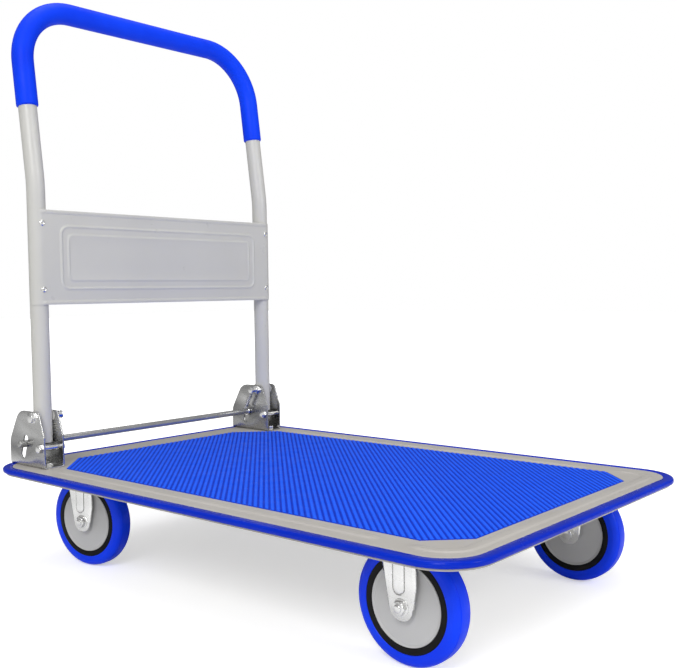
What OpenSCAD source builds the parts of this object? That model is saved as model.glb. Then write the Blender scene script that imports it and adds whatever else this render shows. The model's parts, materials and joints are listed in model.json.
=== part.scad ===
// Folding platform cart: a pressed steel deck with a rubber mat and bumper, on two rigid casters in front
// and two swivel casters behind, with a tube handle that folds flat over the deck.
// Millimetres. The origin is on the floor under the middle of the deck: +X is the front, the handle stands
// at -X, and +Z is up.

/* [Deck] */
// Length of the platform over the bumper
deck_l = 900; // [880:5:960]
// Width of the platform over the bumper
deck_w = 600; // [590:5:640]
// Height of the deck's top above the floor
deck_h = 157; // [157:1:170]
// How far the bumper stands out past the deck's edge
bumper_out = 15; // [13:1:18]
// Height of the bumper strip
bumper_h = 8; // [6:0.5:8]
// Radius of the deck's corners
corner_r = 50; // [45:1:60]
// Thickness of the deck's steel sheet
sheet = 1.6; // [1.2:0.2:1.6]
// Height of the deck's rim
rim_h = 11.5; // [11:0.5:14]

/* [Mat] */
// Distance of the mat's front edge ahead of the deck's middle
mat_front = 400; // [380:2:402]
// Distance of the mat's back edge behind the deck's middle
mat_back = 384; // [370:2:386]
// Width of the mat
mat_w = 476; // [440:2:478]
// Size of the mat's cut corners in front
mat_front_cut = 44; // [30:1:60]
// Size of the mat's cut corners at the hinges
mat_back_cut = 62; // [58:1:90]
// Thickness of the mat
mat_t = 1.5; // [1:0.5:2]

/* [Handle] */
// Distance of the handle's legs behind the middle of the deck
leg_x = 370; // [365:1:375]
// Half the distance between the two legs
leg_y = 246; // [244:1:248]
// Radius of the handle's tube
tube_r = 14; // [13:0.5:14]
// Wall of the handle's tube
tube_wall = 1.6; // [1.2:0.2:2]
// Height at which the legs bend backwards
lean_z = 604; // [580:1:620]
// Angle by which the upper handle leans back
lean = 7.5; // [3:0.5:8]
// Length of the leaning part, from the bend to the middle of the top bar
lean_len = 289; // [250:1:300]
// Centreline radius of the handle's two upper corners
handle_corner_r = 95; // [60:1:110]
// Radius of the soft grip
grip_r = 17; // [16:0.5:18]
// Distance along the leaning part at which the grip starts on each leg
grip_start = 122; // [100:1:160]
// Lower edge of the handle's panel
panel_z = 414; // [400:1:430]
// Height of the handle's panel
panel_h = 149; // [130:1:155]

/* [Hinge] */
// Height of the pivot on which the handle folds
pivot_z = 237; // [236:1:240]
// Height of the legs' lower ends
leg_end_z = 196; // [195:0.5:197]
// Height of the lock rod at rest
rod_z = 193; // [191:1:193]
// Radius of the lock rod
rod_r = 5.5; // [5:0.5:5.5]
// How far the lock rod slides down to free the handle
rod_travel = 17.5; // [14:0.5:17.5]
// Thickness of the hinge brackets
bracket_t = 2.5; // [2:0.5:2.5]

/* [Casters] */
// Radius of the wheels
wheel_r = 72.5; // [70:0.5:72.5]
// Width of the wheels
wheel_w = 29.2; // [28:0.2:30]
// Distance of each wheel's middle plane from the deck's middle
wheel_y = 204; // [196:1:206]
// Distance of the front axles ahead of the deck's middle
front_axle_x = 321; // [300:1:330]
// Distance of the rear axles behind the deck's middle
rear_axle_x = 310; // [300:1:320]
// How far each rear wheel trails its swivel axis
trail = 25; // [20:1:28]
// Angle by which the right rear caster stands swung about its swivel axis
swing = 10; // [0:1:20]
// Radius of the steel discs on the wheels
disc_r = 48.5; // [44:0.5:50]
// Radius at which the tyre meets its rim
rim_r = 57; // [55:0.5:58]
// Radius of the axle bolts
axle_r = 5; // [4:0.5:5]

/* [Hidden] */
$fn = 64;
sides = [-1, 1];
half_l = deck_l / 2 - bumper_out;
half_w = deck_w / 2 - bumper_out;
under_z = deck_h - sheet;
rim_z = deck_h - rim_h;
lip_t = 3.5;
lip_out = 10;

// Hinge: the outer face of each inner plate is plate_in from the middle, the outer plate ends at plate_out
gap_half = 15.5;
plate_in = leg_y - gap_half - bracket_t;
plate_out = leg_y + gap_half + bracket_t;
bracket_back = -leg_x - 69;
bracket_front = -leg_x + 30;
crown_r = 43;
crown_x = bracket_back + crown_r;
crown_z = pivot_z - 34;
rod_x = -leg_x - 25;
slot_lean = 19.8;
slot_up = 9;
slot_half = rod_r + 0.5;
stop_x = -leg_x + 19;
stop_z = 189;
stop_r = 4;
pivot_r = 5;
run_gap = 0.06;
spring_y = 217.5;
spring_r = 4.2;
base_bolt_r = 4;
base_bolt_y = 248.5;
base_bolts_x = [bracket_front - 13, bracket_back + 17];

// Handle: a ball of bend_r fills the corner between the upright and the leaning parts of each leg
bend_r = tube_r + 0.25;
panel_t = 1.2;
panel_x = -leg_x + tube_r + 0.05;
rivets_z = [panel_z + 24, panel_z + panel_h - 21];
rivet_r = 2.5;

// Casters: heights from the floor, distances along Y from the wheel's middle plane
fork_in = 20.5;
fork_t = 2.2;
fork_out = fork_in + fork_t;
fork_front = 18;
fork_back = 30;
plate_l = 90;
plate_w = 72;
plate_t = 2.2;
plate_z = under_z - plate_t;
race_h = 3.7;
crown_top = plate_z - race_h - 0.3;
stud_x = 36;
stud_y = 28;
stud_r = 4;
kingpin_r = 6;
boss_r = 8;
nut_t = 6;
swivel_x = -rear_axle_x - trail;
corners = [for (y = sides) for (x = sides) [x, y]];

// ---- Shared shapes ----

// Flat rectangle with round corners
module round_rect(l, w, r) {
    square([l, w - 2 * r], center = true);
    square([l - 2 * r, w], center = true);
    for (c = corners)
        translate([c.x * (l / 2 - r), c.y * (w / 2 - r)]) circle(r = r);
}

// Sweeps a profile, drawn as [distance outwards, height], around a rectangle with round corners
module rim_sweep(l, w, r) {
    for (side = [0:3]) {
        along = side % 2 == 0 ? l : w;
        across = side % 2 == 0 ? w : l;
        rotate([0, 0, side * 90]) {
            translate([r - along / 2, across / 2, 0])
                rotate([90, 0, 90])
                    linear_extrude(along - 2 * r) children();
            translate([along / 2 - r, across / 2 - r, 0])
                rotate_extrude(angle = 90, $fn = 128)
                    translate([r, 0]) children();
        }
    }
}

// Cylinder along Y, from y0 to y1
module bar_y(r, y0, y1, n = 64) {
    translate([0, y0, 0])
        rotate([-90, 0, 0]) cylinder(h = y1 - y0, r = r, $fn = n);
}

// Hexagonal head or nut along Y, with its width given across the corners
module hex_y(r, y0, y1) {
    bar_y(r, y0, y1, 6);
}

// Places children at the left hinge (+Y) or mirrored at the right hinge (-Y)
module on_side(side) {
    mirror([0, side > 0 ? 0 : 1, 0]) children();
}

// ---- Deck ----

// Section of the rim: a rounded edge, a wall and the folded lip that carries the bumper
module rim_section() {
    intersection() {
        translate([-sheet, under_z]) circle(r = sheet);
        translate([-sheet, under_z]) square(sheet);
    }
    translate([-sheet, rim_z]) square([sheet, rim_h - sheet]);
    translate([-sheet, rim_z]) square([sheet + lip_out - lip_t / 2, lip_t]);
    translate([lip_out - lip_t / 2, rim_z + lip_t / 2]) circle(r = lip_t / 2);
}

module deck_tray() {
    color([0.72, 0.70, 0.67])
    difference() {
        union() {
            translate([0, 0, under_z])
                linear_extrude(sheet)
                    round_rect(2 * (half_l - sheet), 2 * (half_w - sheet), corner_r - sheet);
            rim_sweep(2 * half_l, 2 * half_w, corner_r) rim_section();
        }
        for (side = sides)
            for (x = base_bolts_x)
                translate([x, side * base_bolt_y, under_z - 1]) cylinder(h = sheet + 2, r = base_bolt_r + 0.1);
    }
}

module deck_mat() {
    color([0.05, 0.25, 0.9])
    translate([0, 0, deck_h])
        linear_extrude(mat_t)
            polygon([
                for (c = [[1, 1], [-1, 1], [-1, -1], [1, -1]])
                    each let (
                        x = c.x > 0 ? mat_front : -mat_back,
                        cut = c.x > 0 ? mat_front_cut : mat_back_cut,
                        tip = [x, c.y * (mat_w / 2 - cut)],
                        shoulder = [x - c.x * cut, c.y * mat_w / 2]
                    ) c.x * c.y > 0 ? [tip, shoulder] : [shoulder, tip]
            ]);
}

// Strip with a rounded nose, on the lip and against the wall
module bumper() {
    color([0.0, 0.1, 0.75])
    rim_sweep(2 * half_l, 2 * half_w, corner_r)
        translate([0, rim_z + lip_t]) {
            square([bumper_out - bumper_h / 2, bumper_h]);
            translate([bumper_out - bumper_h / 2, bumper_h / 2]) circle(r = bumper_h / 2);
        }
}

// Hat section, open at the top, with its flanges against the deck
module hat(l, w, h) {
    flange = 10;
    rotate([90, 0, 90])
        linear_extrude(l, center = true)
            difference() {
                union() {
                    translate([-w / 2, -h]) square([w, h]);
                    translate([-w / 2 - flange, -sheet]) square([w + 2 * flange, sheet]);
                }
                translate([-w / 2 + sheet, -h + sheet]) square([w - 2 * sheet, h]);
            }
}

rail_y = 70;
rail_w = 40;
rail_h = 22;

module deck_rails() {
    color([0.55, 0.54, 0.52])
    for (side = sides)
        translate([0, side * rail_y, under_z]) hat(2 * half_l - 70, rail_w, rail_h);
}

// Three cross members, each in three lengths between and outside the rails
module deck_crossmembers() {
    rail_edge = rail_w / 2 + 10;
    inner_l = 2 * (rail_y - rail_edge);
    outer_from = rail_y + rail_edge;
    outer_l = half_w - 14 - outer_from;
    color([0.55, 0.54, 0.52])
    for (x = [-190, 0, 190])
        translate([x, 0, under_z])
            rotate([0, 0, 90]) {
                hat(inner_l, 36, 16);
                for (side = sides)
                    translate([side * (outer_from + outer_l / 2), 0, 0]) hat(outer_l, 36, 16);
            }
}

// Welded studs with their nuts, four for each caster
module caster_studs() {
    color([0.8, 0.8, 0.8])
    for (place = [[front_axle_x, -wheel_y], [front_axle_x, wheel_y], [swivel_x, -wheel_y], [swivel_x, wheel_y]])
        for (c = corners)
            translate([place.x + c.x * stud_x, place.y + c.y * stud_y, plate_z - 2.8]) {
                cylinder(h = plate_t + 2.8, r = stud_r);
                cylinder(h = 2.8, r = 7, $fn = 6);
            }
}

// ---- Hinges ----

// Slot that the lock rod slides in, along the line of its travel
module slot_cut() {
    reach = slot_up + rod_travel + 1;
    translate([rod_x, 0, rod_z])
        rotate([0, slot_lean, 0]) {
            translate([0, 0, slot_up]) bar_y(slot_half, 0, 400);
            translate([0, 0, slot_up - reach]) bar_y(slot_half, 0, 400);
            translate([-slot_half, 0, slot_up - reach]) cube([2 * slot_half, 400, reach]);
        }
}

// Side of the bracket: straight front, sloping shoulder, round back
module bracket_side() {
    polygon([
        [bracket_back, deck_h],
        [bracket_front, deck_h],
        [bracket_front, pivot_z - 30],
        [-leg_x + 15, pivot_z + 9],
        [crown_x, crown_z + crown_r],
        [crown_x, crown_z],
        [bracket_back, crown_z]
    ]);
    translate([crown_x, crown_z]) circle(r = crown_r);
}

module hinge_bracket(side) {
    color([0.8, 0.8, 0.8])
    on_side(side)
    difference() {
        union() {
            for (y = [plate_in, plate_out - bracket_t])
                translate([0, y + bracket_t, 0])
                    rotate([90, 0, 0]) linear_extrude(bracket_t) bracket_side();
            translate([bracket_back, plate_in, deck_h])
                cube([bracket_front - bracket_back, plate_out - plate_in, bracket_t]);
        }
        translate([-leg_x, 0, pivot_z]) bar_y(pivot_r + 0.1, 100, 400);
        translate([stop_x, 0, stop_z]) bar_y(stop_r + 0.1, 100, 400);
        slot_cut();
        for (x = base_bolts_x)
            translate([x, base_bolt_y, deck_h - 1]) cylinder(h = bracket_t + 2, r = base_bolt_r + 0.1);
    }
}

module hinge_bracket_l() { hinge_bracket(1); }
module hinge_bracket_r() { hinge_bracket(-1); }

// Bolts through the bracket's base and the deck, with their nuts below
module hinge_base_bolts() {
    top = deck_h + bracket_t;
    color([0.8, 0.8, 0.8])
    for (side = sides)
        for (x = base_bolts_x)
            translate([x, side * base_bolt_y, 0]) {
                translate([0, 0, under_z - 4.8]) cylinder(h = top - under_z + 4.8, r = base_bolt_r);
                translate([0, 0, top]) cylinder(h = 5, r = 7, $fn = 6);
                translate([0, 0, under_z - 4.5]) cylinder(h = 4.5, r = 6.9, $fn = 6);
            }
}

// Bolt on which a leg turns, its nut on the inner plate and its end drawn out to hold the spring
module pivot_bolt(side) {
    color([0.85, 0.85, 0.85])
    on_side(side)
    translate([-leg_x, 0, pivot_z]) {
        bar_y(pivot_r, spring_y - 4.5, plate_out);
        hex_y(9, plate_out, plate_out + 6);
        hex_y(8.6, plate_in - 5, plate_in);
        bar_y(6.2, spring_y - 5.5, spring_y - 4.5);
    }
}

module pivot_bolt_l() { pivot_bolt(1); }
module pivot_bolt_r() { pivot_bolt(-1); }

// Thin washers between each leg and its bracket
module pivot_washers() {
    washer_t = 1.1;
    color([0.9, 0.9, 0.88])
    for (side = sides)
        on_side(side)
        translate([-leg_x, 0, pivot_z])
            for (y = [leg_y - gap_half, leg_y + gap_half - washer_t])
                difference() {
                    bar_y(9, y, y + washer_t);
                    bar_y(pivot_r + 0.1, y - 1, y + washer_t + 1);
                }
}

module stop_pin(side) {
    color([0.85, 0.85, 0.85])
    on_side(side)
    translate([stop_x, 0, stop_z]) {
        bar_y(stop_r, plate_in - 6, plate_out);
        hex_y(7.2, plate_out, plate_out + 5);
        hex_y(7, plate_in - 4.5, plate_in);
    }
}

module stop_pin_l() { stop_pin(1); }
module stop_pin_r() { stop_pin(-1); }

// Extension spring from the pivot bolt to the lock rod: the coil's outer shape and its two end hooks
module spring(side) {
    reach = norm([rod_x + leg_x, rod_z - pivot_z]);
    tilt = atan2(-leg_x - rod_x, pivot_z - rod_z);
    color([0.6, 0.6, 0.6])
    on_side(side)
    translate([-leg_x, spring_y, pivot_z])
        rotate([0, tilt, 0]) {
            translate([0, 0, -reach + rod_r + 3.5]) cylinder(h = reach - rod_r - pivot_r - 7, r = spring_r);
            translate([0, 0, -reach + rod_r + 0.1]) cylinder(h = reach - rod_r - pivot_r - 0.2, r = 1);
        }
}

module spring_l() { spring(1); }
module spring_r() { spring(-1); }

// Rod across both hinges, pushed down by foot to free the legs
module lock_rod() {
    color([0.9, 0.9, 0.9])
    translate([rod_x, 0, rod_z]) {
        bar_y(rod_r, -plate_out - 12, plate_out + 12);
    }
}

module rod_collars() {
    color([0.75, 0.75, 0.75])
    for (side = sides)
        on_side(side)
        translate([rod_x, 0, rod_z])
            difference() {
                bar_y(8, plate_in - 4, plate_in - 0.4);
                bar_y(rod_r, plate_in - 5, plate_in);
            }
}

// ---- Handle ----

module ring(outer, inner) {
    difference() {
        circle(r = outer, $fn = 36);
        circle(r = inner, $fn = 36);
    }
}

// Frame of the handle above its bend: +Z runs along the leaning legs
module in_lean() {
    translate([-leg_x, 0, lean_z]) rotate([0, -lean, 0]) children();
}

// Sweeps a flat section along the upper handle, from a distance up the leaning legs
module handle_bow(start) {
    corner_z = lean_len - handle_corner_r;
    span = 2 * (leg_y - handle_corner_r);
    in_lean() {
        for (side = sides)
            on_side(side) {
                translate([0, leg_y, start]) linear_extrude(corner_z - start) children();
                translate([0, leg_y - handle_corner_r, corner_z])
                    rotate([90, 0, 90])
                        rotate_extrude(angle = 90)
                            translate([handle_corner_r, 0]) children();
            }
        translate([0, 0, lean_len])
            rotate([90, 0, 0])
                linear_extrude(span, center = true) children();
    }
}

// Outline of the whole tube as one solid, its radius given as tube and its bend's ball as ball
module handle_core(tube, ball, end_z) {
    for (side = sides) {
        translate([-leg_x, side * leg_y, end_z]) cylinder(h = lean_z - end_z, r = tube);
        translate([-leg_x, side * leg_y, lean_z]) sphere(r = ball);
    }
    handle_bow(0) circle(r = tube, $fn = 36);
}

module handle_tube() {
    color([0.78, 0.78, 0.78])
    difference() {
        handle_core(tube_r, bend_r, leg_end_z);
        handle_core(tube_r - tube_wall, bend_r - tube_wall, leg_end_z - 1);
        for (side = sides)
            on_side(side) {
                translate([-leg_x, 0, pivot_z]) bar_y(pivot_r + run_gap, leg_y - 20, leg_y + 20);
                rivet_holes();
            }
    }
}

module handle_grip() {
    color([0.05, 0.25, 0.9]) handle_bow(grip_start) ring(grip_r, tube_r);
}

// Holes through the panel and the front wall of a leg
module rivet_holes() {
    for (z = rivets_z)
        translate([-leg_x + 8, leg_y, z]) rotate([0, 90, 0]) cylinder(h = 12, r = rivet_r + 0.1);
}

// Raised frame on the panel's face
module panel_bead(l, h, r) {
    bead_w = 5;
    translate([panel_x + panel_t, 0, panel_z + panel_h / 2])
        rotate([90, 0, 90])
            linear_extrude(1.2)
                difference() {
                    round_rect(l, h, r);
                    round_rect(l - 2 * bead_w, h - 2 * bead_w, r - bead_w);
                }
}

// Section of the panel: flat between the legs, curled around the outer front of each leg
module panel_section() {
    translate([panel_x, -leg_y]) square([panel_t, 2 * leg_y]);
    for (side = sides)
        mirror([0, side > 0 ? 0 : 1])
            translate([-leg_x, leg_y])
                intersection() {
                    ring(tube_r + 0.05 + panel_t, tube_r + 0.05);
                    translate([3, 0]) square([20, 20]);
                }
}

module handle_panel() {
    hem_h = 5;
    color([0.8, 0.8, 0.8])
    difference() {
        union() {
            translate([0, 0, panel_z]) linear_extrude(panel_h) panel_section();
            panel_bead(430, 104, 16);
            panel_bead(404, 76, 10);
            for (z = [panel_z, panel_z + panel_h - hem_h])
                translate([panel_x + panel_t, -leg_y + 14, z]) cube([panel_t, 2 * leg_y - 28, hem_h]);
        }
        for (side = sides)
            on_side(side) rivet_holes();
    }
}

module panel_rivets() {
    face = panel_x + panel_t;
    grip_depth = 4;
    color([0.7, 0.7, 0.7])
    for (side = sides)
        for (z = rivets_z)
            translate([face, side * leg_y, z])
                rotate([0, 90, 0]) {
                    cylinder(h = 1.8, r = 4.5);
                    translate([0, 0, -grip_depth]) cylinder(h = grip_depth, r = rivet_r);
                }
}

module leg_plugs() {
    color([0.15, 0.15, 0.15])
    for (side = sides)
        translate([-leg_x, side * leg_y, leg_end_z]) {
            translate([0, 0, -1.2]) cylinder(h = 1.2, r = tube_r - 0.1);
            cylinder(h = 10, r = tube_r - tube_wall);
        }
}

// ---- Casters ----

// Side of a fork: wide at the top, round at the axle, from the axle at [0, wheel_r]
module fork_side(top) {
    polygon([[-fork_back, top], [fork_front, top], [16, wheel_r], [-16, wheel_r]]);
    translate([0, wheel_r]) circle(r = 16);
}

// Two fork sides with their raised channels, around the axle at x = 0
module fork_legs(top) {
    channel_low = wheel_r + 14 + boss_r;
    for (side = sides)
        on_side(side) {
            difference() {
                translate([0, fork_out, 0]) rotate([90, 0, 0]) linear_extrude(fork_t) fork_side(top);
                translate([0, 0, wheel_r]) bar_y(axle_r + 0.1, fork_in - 1, fork_out + 1);
            }
            translate([-3 - boss_r, fork_out, channel_low]) cube([2 * boss_r, 1.5, top - channel_low]);
            translate([-3, 0, channel_low]) bar_y(boss_r, fork_out, fork_out + 1.5);
        }
}

// Mounting plate with its four stud holes
module caster_plate() {
    linear_extrude(plate_t)
        difference() {
            round_rect(plate_l, plate_w, 8);
            for (c = corners)
                translate([c.x * stud_x, c.y * stud_y]) circle(r = stud_r + 0.2);
        }
}

module rigid_fork(side) {
    color([0.82, 0.82, 0.82])
    translate([front_axle_x, side * wheel_y, 0]) {
        translate([0, 0, plate_z]) caster_plate();
        fork_legs(under_z);
    }
}

module fork_fl() { rigid_fork(1); }
module fork_fr() { rigid_fork(-1); }

module swivel_plate(side) {
    color([0.82, 0.82, 0.82])
    translate([swivel_x, side * wheel_y, plate_z])
        difference() {
            caster_plate();
            translate([0, 0, -1]) cylinder(h = plate_t + 2, r = kingpin_r + 0.1);
        }
}

module swivel_plate_rl() { swivel_plate(1); }
module swivel_plate_rr() { swivel_plate(-1); }

// Closed ball race between the plate and the fork
module swivel_race(side) {
    color([0.7, 0.7, 0.7])
    translate([swivel_x, side * wheel_y, plate_z - race_h])
        rotate_extrude()
            polygon([[kingpin_r + 0.1, 0], [24, 0], [27, 1.5], [27, race_h], [kingpin_r + 0.1, race_h]]);
}

module swivel_race_rl() { swivel_race(1); }
module swivel_race_rr() { swivel_race(-1); }

// Rivet that holds the swivel fork on, fixed in the plate
module kingpin(side) {
    head_t = 2;
    head_z = crown_top - fork_t - 0.3 - head_t;
    color([0.75, 0.75, 0.75])
    translate([swivel_x, side * wheel_y, 0]) {
        translate([0, 0, head_z]) cylinder(h = head_t, r = 9);
        translate([0, 0, head_z]) cylinder(h = under_z - head_z, r = kingpin_r);
    }
}

module kingpin_rl() { kingpin(1); }
module kingpin_rr() { kingpin(-1); }

// Turns children about the swivel axis of the right rear caster, where they belong to it
module swung(end, side) {
    turn = end < 0 && side < 0 ? swing : 0;
    translate([swivel_x, side * wheel_y, 0])
        rotate([0, 0, turn])
            translate([-swivel_x, -side * wheel_y, 0]) children();
}

// Places children at a wheel, with the outside of the cart towards +Y
module at_wheel(end, side) {
    swung(end, side)
        translate([end > 0 ? front_axle_x : -rear_axle_x, side * wheel_y, wheel_r])
            on_side(side) children();
}

module swivel_fork(side) {
    color([0.82, 0.82, 0.82])
    swung(-1, side)
        translate([-rear_axle_x, side * wheel_y, 0])
            difference() {
                union() {
                    fork_legs(crown_top);
                    translate([0, 0, crown_top - fork_t])
                        linear_extrude(fork_t) {
                            translate([-trail, 0]) circle(r = 32);
                            translate([-fork_back, -fork_out]) square([fork_back + fork_front, 2 * fork_out]);
                        }
                }
                translate([-trail, 0, crown_top - fork_t - 1]) cylinder(h = fork_t + 2, r = kingpin_r + run_gap);
            }
}

module fork_rl() { swivel_fork(1); }
module fork_rr() { swivel_fork(-1); }

// Axle bolt, its head on the inside and its round end past the nut on the outside
module axle(end, side) {
    color([0.85, 0.85, 0.85])
    at_wheel(end, side) {
        bar_y(axle_r, -fork_out, fork_out + nut_t + 2);
        hex_y(8.6, -fork_out - nut_t, -fork_out);
    }
}

module axle_fl() { axle(1, 1); }
module axle_fr() { axle(1, -1); }
module axle_rl() { axle(-1, 1); }
module axle_rr() { axle(-1, -1); }

module axle_nut(end, side) {
    color([0.85, 0.85, 0.85])
    at_wheel(end, side)
        difference() {
            hex_y(9, fork_out, fork_out + nut_t);
            bar_y(axle_r, fork_out - 1, fork_out + nut_t + 1);
        }
}

module axle_nut_fl() { axle_nut(1, 1); }
module axle_nut_fr() { axle_nut(1, -1); }
module axle_nut_rl() { axle_nut(-1, 1); }
module axle_nut_rr() { axle_nut(-1, -1); }

// Turns a profile, drawn as [radius, distance from the middle plane], about the axle
module turned() {
    rotate([-90, 0, 0]) rotate_extrude($fn = 128) children();
}

// Tyre with flat sides, round shoulders and a flat tread
module tyre(end, side) {
    shoulder = 5.1;
    half = wheel_w / 2;
    color([0.05, 0.25, 0.9])
    at_wheel(end, side)
        turned() {
            translate([rim_r, -half]) square([wheel_r - shoulder - rim_r, wheel_w]);
            translate([rim_r, shoulder - half]) square([wheel_r - rim_r, wheel_w - 2 * shoulder]);
            for (s = sides)
                translate([wheel_r - shoulder, s * (half - shoulder)]) circle(r = shoulder);
        }
}

module tyre_fl() { tyre(1, 1); }
module tyre_fr() { tyre(1, -1); }
module tyre_rl() { tyre(-1, 1); }
module tyre_rr() { tyre(-1, -1); }

hub_r = 11;
disc_t = 1.2;
disc_y = 12.8;

// Plastic rim: an outer band, a web and a boss that backs the discs
module rim(end, side) {
    band_half = wheel_w / 2;
    color([0.08, 0.08, 0.08])
    at_wheel(end, side)
        turned() {
            translate([disc_r + 0.2, -band_half]) square([rim_r - disc_r - 0.2, 2 * band_half]);
            translate([hub_r, -6]) square([rim_r - hub_r, 12]);
            translate([hub_r, -disc_y]) square([8, 2 * disc_y]);
        }
}

module rim_fl() { rim(1, 1); }
module rim_fr() { rim(1, -1); }
module rim_rl() { rim(-1, 1); }
module rim_rr() { rim(-1, -1); }

// Steel cover disc on each face of a wheel
module discs(end, side) {
    color([0.72, 0.72, 0.72])
    at_wheel(end, side)
        turned()
            for (y = [-disc_y - disc_t, disc_y])
                translate([hub_r, y]) square([disc_r - hub_r, disc_t]);
}

module discs_fl() { discs(1, 1); }
module discs_fr() { discs(1, -1); }
module discs_rl() { discs(-1, 1); }
module discs_rr() { discs(-1, -1); }

// Steel bearing sleeve that runs on the axle bolt
module hub(end, side) {
    half = fork_in - 0.3;
    color([0.75, 0.75, 0.75])
    at_wheel(end, side)
        turned()
            translate([axle_r + run_gap, -half]) square([hub_r - axle_r - run_gap, 2 * half]);
}

module hub_fl() { hub(1, 1); }
module hub_fr() { hub(1, -1); }
module hub_rl() { hub(-1, 1); }
module hub_rr() { hub(-1, -1); }

deck_tray();
deck_mat();
bumper();
deck_rails();
deck_crossmembers();
caster_studs();
hinge_bracket_l();
hinge_bracket_r();
hinge_base_bolts();
pivot_bolt_l();
pivot_bolt_r();
pivot_washers();
stop_pin_l();
stop_pin_r();
spring_l();
spring_r();
lock_rod();
rod_collars();
handle_tube();
handle_grip();
handle_panel();
panel_rivets();
leg_plugs();
fork_fl();
fork_fr();
swivel_plate_rl();
swivel_plate_rr();
swivel_race_rl();
swivel_race_rr();
kingpin_rl();
kingpin_rr();
fork_rl();
fork_rr();
axle_fl();
axle_fr();
axle_rl();
axle_rr();
axle_nut_fl();
axle_nut_fr();
axle_nut_rl();
axle_nut_rr();
tyre_fl();
tyre_fr();
tyre_rl();
tyre_rr();
rim_fl();
rim_fr();
rim_rl();
rim_rr();
discs_fl();
discs_fr();
discs_rl();
discs_rr();
hub_fl();
hub_fr();
hub_rl();
hub_rr();
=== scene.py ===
"""Looks of the folding platform cart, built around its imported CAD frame.

Meshes are drawn in millimetres and scaled to metres in piece(). +X is the front, the handle stands at -X.
"""
import json
import math

import bmesh
import bpy
from mathutils import Matrix, Vector


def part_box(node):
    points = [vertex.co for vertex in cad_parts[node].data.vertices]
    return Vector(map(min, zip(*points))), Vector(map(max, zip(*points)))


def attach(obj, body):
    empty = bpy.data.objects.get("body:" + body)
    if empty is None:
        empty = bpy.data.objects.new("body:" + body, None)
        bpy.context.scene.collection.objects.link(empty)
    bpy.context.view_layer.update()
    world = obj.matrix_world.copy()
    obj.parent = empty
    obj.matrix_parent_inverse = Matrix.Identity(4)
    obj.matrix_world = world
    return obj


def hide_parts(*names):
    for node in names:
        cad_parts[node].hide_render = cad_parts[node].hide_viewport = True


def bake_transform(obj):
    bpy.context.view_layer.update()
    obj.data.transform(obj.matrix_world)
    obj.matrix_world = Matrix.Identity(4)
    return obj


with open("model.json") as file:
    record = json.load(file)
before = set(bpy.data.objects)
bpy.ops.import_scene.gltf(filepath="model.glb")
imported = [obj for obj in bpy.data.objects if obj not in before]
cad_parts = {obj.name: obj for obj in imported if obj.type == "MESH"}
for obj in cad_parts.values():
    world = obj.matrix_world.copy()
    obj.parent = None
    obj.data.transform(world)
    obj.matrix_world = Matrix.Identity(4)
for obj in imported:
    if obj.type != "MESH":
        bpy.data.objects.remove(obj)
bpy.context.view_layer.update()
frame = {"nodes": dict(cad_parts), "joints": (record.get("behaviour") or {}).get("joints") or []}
JOINTS = {joint["name"]: joint for joint in frame["joints"]}
MM = 0.001
SIDES = (-1, 1)


# ---- Sizes from the frame, in millimetres ----


def box_mm(node):
    """Lowest and highest corner of a CAD node, in millimetres."""
    low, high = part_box(node)
    return low / MM, high / MM


tray_low, tray_high = box_mm("deck_tray")
mat_low, mat_high = box_mm("deck_mat")
bumper_low, bumper_high = box_mm("bumper")
rod_low, rod_high = box_mm("lock_rod")
stop_low, stop_high = box_mm("stop_pin_l")
bracket_low, bracket_high = box_mm("hinge_bracket_l")
tube_low, tube_high = box_mm("handle_tube")
grip_high = box_mm("handle_grip")[1]
panel_low, panel_high = box_mm("handle_panel")

DECK_TOP = tray_high.z
MAT_BASE = DECK_TOP + 0.6
SHEET = 1.6
LIP_OUT = 10.0
LIP_T = 3.5
HALF_L = tray_high.x - LIP_OUT
HALF_W = tray_high.y - LIP_OUT
CORNER_R = 50.0
PIVOT = Vector(JOINTS["handle_fold"]["pos_m"]) / MM
LEG_X = PIVOT.x
LEG_Y = (bracket_low.y + bracket_high.y) / 2
BRACKET_T = 2.5
PIVOT_R = 5.0
SPRING_Y = 217.5
ROD_R = (rod_high.z - rod_low.z) / 2
ROD = (rod_low + rod_high) / 2
SLIDE = Vector(JOINTS["lock_slide"]["axis"])
ROD_TRAVEL = JOINTS["lock_slide"]["range_m"][1] / MM
STOP = (stop_low + stop_high) / 2
TUBE_R = tube_high.y - LEG_Y
GRIP_R = grip_high.y - LEG_Y
LEAN_Z = 604.0
LEAN = math.radians(7.5)
LEAN_LEN = 289.0
HANDLE_CORNER_R = 95.0
GRIP_START = 122.0
WHEEL_R = JOINTS["spin_fl"]["pos_m"][2] / MM


# ---- Mesh tools ----


def rounded(corners, closed=True, steps=8):
    """Points along a line through (point, radius) corners, each corner turned into an arc."""
    points = []
    count = len(corners)
    for i, (corner, radius) in enumerate(corners):
        here = Vector(corner)
        at_end = not closed and i in (0, count - 1)
        if at_end or radius <= 0:
            points.append(here)
            continue
        back = (Vector(corners[i - 1][0]) - here).normalized()
        ahead = (Vector(corners[(i + 1) % count][0]) - here).normalized()
        half = back.angle(ahead) / 2
        middle = here + (back + ahead).normalized() * radius / math.sin(half)
        first = here + back * radius / math.tan(half) - middle
        last = here + ahead * radius / math.tan(half) - middle
        turn = math.pi - 2 * half
        for k in range(steps + 1):
            t = k / steps
            arm = first * math.sin((1 - t) * turn) + last * math.sin(t * turn)
            points.append(middle + arm / math.sin(turn))
    return points


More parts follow.
